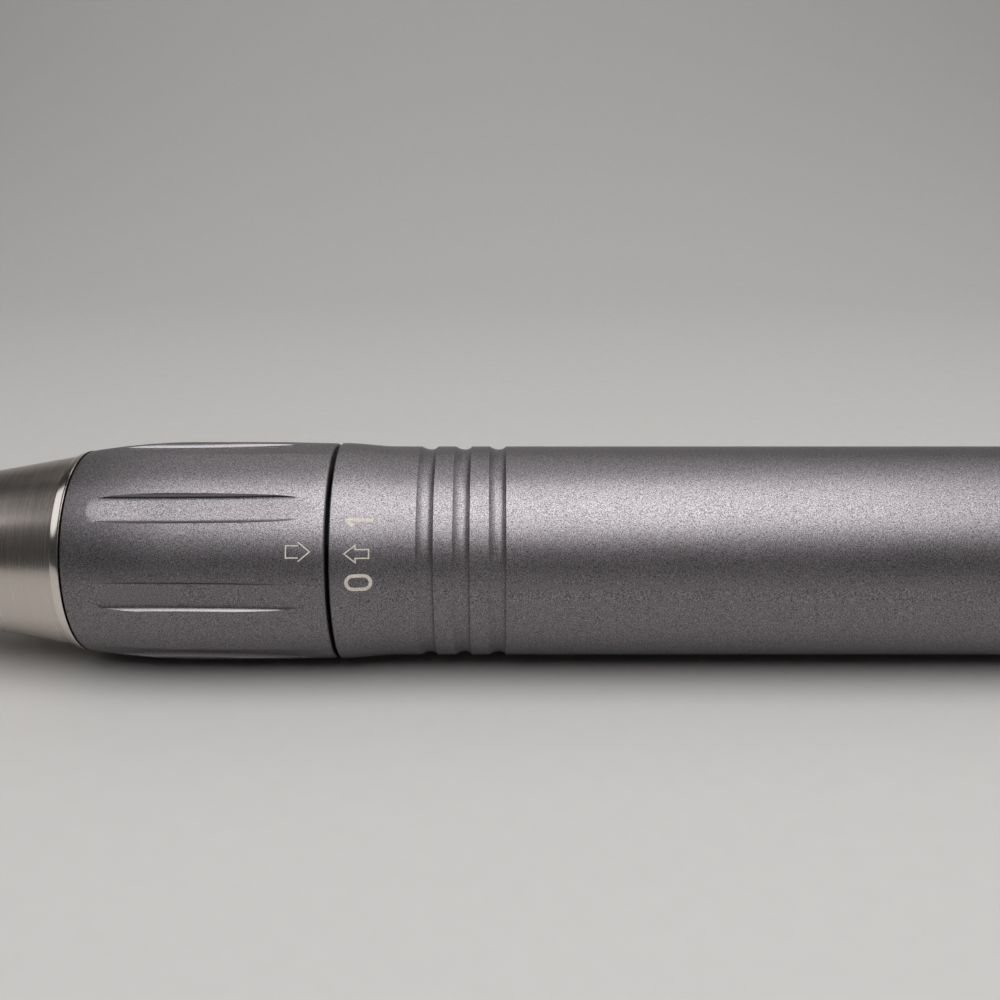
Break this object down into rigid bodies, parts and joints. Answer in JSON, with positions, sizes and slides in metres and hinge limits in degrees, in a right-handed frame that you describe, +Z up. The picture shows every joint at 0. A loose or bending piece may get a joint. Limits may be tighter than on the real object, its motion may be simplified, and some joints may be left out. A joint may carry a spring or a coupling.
{
  "type": "dental lab micromotor",
  "caption": "Slim round motor handpiece with a steel nose, a fluted twist collar that opens its collet, a grooved grip tube and a rear plug socket.",
  "frame": {"origin": "centre of the bounding box's underside, on the surface the handpiece lies on", "axes": "+X along the handpiece from nose to socket, +Z up"},
  "size_m": [0.16, 0.028, 0.028],
  "materials": {
    "nose_steel": "brushed",
    "anodised": "charcoal anodised, bead blasted",
    "ground_steel": "ground",
    "spring_steel": "drawn",
    "bronze": "sintered",
    "brass": "turned",
    "gold_plate": "gold plated",
    "turned_aluminium": "turned",
    "core_steel": "laminated",
    "copper": "enamelled wire",
    "magnet": "nickel plated",
    "nitrile": "matte",
    "black_plastic": "moulded",
    "polyurethane": "moulded",
    "board": "solder mask",
    "sleeving": "extruded",
    "cage_nylon": "moulded"
  },
  "bodies": {
    "handle": {"nose_cone": "nose_steel", "dust_seal": "nitrile", "nose_o_ring": "nitrile", "spindle_housing": "ground_steel", "bearing_carrier": "turned_aluminium", "preload_washer": "spring_steel", "front_bearing_outer_ring": "ground_steel", "second_bearing_outer_ring": "ground_steel", "rear_bearing_outer_ring": "ground_steel", "motor_front_bearing_outer_ring": "ground_steel", "motor_rear_bearing_outer_ring": "ground_steel", "motor_case": "turned_aluminium", "motor_front_bracket": "turned_aluminium", "motor_rear_bracket": "turned_aluminium", "stator_core": "core_steel", "winding": "copper", "motor_board": "board", "motor_lead_1": "sleeving", "motor_lead_2": "sleeving", "motor_lead_3": "sleeving", "body_sleeve": "anodised", "rear_cap": "nose_steel", "rear_o_ring": "nitrile", "socket_insert": "black_plastic", "contact_pin_1": "gold_plate", "contact_pin_2": "gold_plate", "contact_pin_3": "gold_plate"},
    "twist_collar": {"lock_collar": "anodised", "collar_bush": "bronze", "cam_pin_1": "ground_steel", "cam_pin_2": "ground_steel", "cam_pin_3": "ground_steel"},
    "release_set": {"release_sleeve": "ground_steel", "release_key_1": "ground_steel", "release_key_2": "ground_steel", "release_ring": "ground_steel"},
    "rotor": {"spindle": "ground_steel", "spindle_nut": "brass", "chuck_spring": "spring_steel", "front_bearing_inner_ring": "ground_steel", "second_bearing_inner_ring": "ground_steel", "rear_bearing_inner_ring": "ground_steel", "motor_front_bearing_inner_ring": "ground_steel", "motor_rear_bearing_inner_ring": "ground_steel", "spindle_coupling": "turned_aluminium", "coupling_spider": "polyurethane", "motor_coupling": "turned_aluminium", "motor_shaft": "ground_steel", "rotor_magnet": "magnet", "front_balance_ring": "brass", "rear_balance_ring": "brass"},
    "bearing_cages": {"front_bearing_balls": "cage_nylon", "second_bearing_balls": "cage_nylon", "rear_bearing_balls": "cage_nylon", "motor_front_bearing_balls": "cage_nylon", "motor_rear_bearing_balls": "cage_nylon"},
    "chuck": {"collet": "ground_steel", "drawbar": "ground_steel", "cross_pin": "ground_steel", "push_ring": "ground_steel"}
  },
  "joints": [
    {"name": "collar_twist", "type": "hinge", "parent": "handle", "child": "twist_collar", "pos_m": [-0.0369, 0, 0.01399], "axis": [1, 0, 0], "range_deg": [0, 60]},
    {"name": "release_slide", "type": "slide", "parent": "handle", "child": "release_set", "axis": [-1, 0, 0], "range_m": [0, 0.0011]},
    {"name": "spindle_spin", "type": "hinge", "parent": "handle", "child": "rotor", "pos_m": [0, 0, 0.01399], "axis": [1, 0, 0], "continuous": true},
    {"name": "cage_spin", "type": "hinge", "parent": "handle", "child": "bearing_cages", "pos_m": [0, 0, 0.01399], "axis": [1, 0, 0], "continuous": true},
    {"name": "chuck_slide", "type": "slide", "parent": "rotor", "child": "chuck", "axis": [-1, 0, 0], "range_m": [0, 0.0011], "deforming": ["chuck_spring"]}
  ],
  "couplings": [
    {"joint": "release_slide", "follows": "collar_twist", "m_per_rad": 0.0010504},
    {"joint": "chuck_slide", "follows": "collar_twist", "m_per_rad": 0.0010504},
    {"joint": "cage_spin", "follows": "spindle_spin", "ratio": 0.4233}
  ]
}
